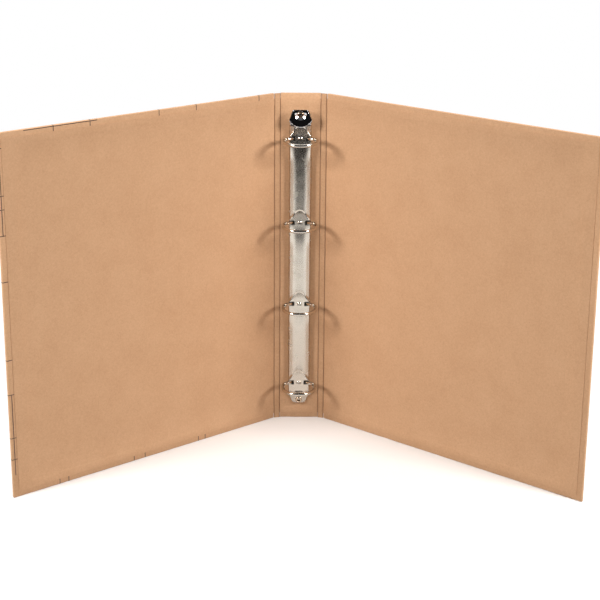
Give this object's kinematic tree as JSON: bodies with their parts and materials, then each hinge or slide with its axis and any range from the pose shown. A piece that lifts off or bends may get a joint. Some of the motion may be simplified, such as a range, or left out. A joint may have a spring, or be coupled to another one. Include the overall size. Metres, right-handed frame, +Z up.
{
  "type": "scrapbook album",
  "caption": "Kraft-covered ring album standing open in a V, with board covers on paper hinges and a lever-operated ring mechanism riveted to the spine.",
  "frame": {"origin": "on the standing surface, under the middle of the whole object's box", "axes": "+X across the open album towards the back cover, +Z up along the spine, the covers come forward towards -Y"},
  "size_m": [0.4884, 0.1706, 0.32],
  "materials": {
    "kraft_cover_paper": "matt uncoated kraft",
    "kraft_liner_paper": "matt uncoated kraft",
    "kraft_hinge_paper": "matt kraft laminate, pressed",
    "greyboard": "raw greyboard",
    "satin_nickel_plate": "satin nickel plated steel",
    "blade_steel": "zinc plated steel",
    "ring_wire": "polished nickel plated wire",
    "lever_chrome": "polished chrome",
    "rivet_metal": "nickel plated tubular rivet"
  },
  "bodies": {
    "spine": {"spine_board": "greyboard", "spine_cover_paper": "kraft_cover_paper", "spine_liner": "kraft_liner_paper", "ring_plate": "satin_nickel_plate", "rivet_bottom": "rivet_metal", "rivet_top": "rivet_metal", "lever_pin": "blade_steel"},
    "front_hinge": {"front_hinge_strip": "kraft_hinge_paper"},
    "front_cover": {"front_board": "greyboard", "front_cover_paper": "kraft_cover_paper", "front_liner": "kraft_liner_paper"},
    "back_hinge": {"back_hinge_strip": "kraft_hinge_paper"},
    "back_cover": {"back_board": "greyboard", "back_cover_paper": "kraft_cover_paper", "back_liner": "kraft_liner_paper"},
    "left_rings": {"blade_left": "blade_steel", "ring_1_left": "ring_wire", "ring_2_left": "ring_wire", "ring_3_left": "ring_wire", "ring_4_left": "ring_wire"},
    "right_rings": {"blade_right": "blade_steel", "ring_1_right": "ring_wire", "ring_2_right": "ring_wire", "ring_3_right": "ring_wire", "ring_4_right": "ring_wire"},
    "lever": {"lever": "lever_chrome"}
  },
  "joints": [
    {"name": "front_spine_crease", "type": "hinge", "parent": "spine", "child": "front_hinge", "pos_m": [-0.0185, 0.08128, 0], "axis": [0, 0, 1], "range_deg": [-18.5, 26.5]},
    {"name": "front_cover_crease", "type": "hinge", "parent": "front_hinge", "child": "front_cover", "pos_m": [-0.02372, 0.07953, 0], "axis": [0, 0, 1], "range_deg": [-18.5, 26.5]},
    {"name": "back_spine_crease", "type": "hinge", "parent": "spine", "child": "back_hinge", "pos_m": [0.0185, 0.08128, 0], "axis": [0, 0, -1], "range_deg": [-18.5, 26.5]},
    {"name": "back_cover_crease", "type": "hinge", "parent": "back_hinge", "child": "back_cover", "pos_m": [0.02372, 0.07953, 0], "axis": [0, 0, -1], "range_deg": [-18.5, 26.5]},
    {"name": "left_blade_tilt", "type": "hinge", "parent": "spine", "child": "left_rings", "pos_m": [-0.0089, 0.07918, 0], "axis": [0, 0, -1], "range_deg": [0, 15]},
    {"name": "right_blade_tilt", "type": "hinge", "parent": "spine", "child": "right_rings", "pos_m": [0.0089, 0.07918, 0], "axis": [0, 0, 1], "range_deg": [0, 15]},
    {"name": "lever_turn", "type": "hinge", "parent": "spine", "child": "lever", "pos_m": [0, 0.07778, 0.2945], "axis": [-1, 0, 0], "range_deg": [0, 18.75]}
  ],
  "couplings": [
    {"joint": "front_spine_crease", "follows": "front_cover_crease", "ratio": 1},
    {"joint": "back_spine_crease", "follows": "back_cover_crease", "ratio": 1},
    {"joint": "right_blade_tilt", "follows": "left_blade_tilt", "ratio": 1},
    {"joint": "lever_turn", "follows": "left_blade_tilt", "ratio": 1.25}
  ]
}
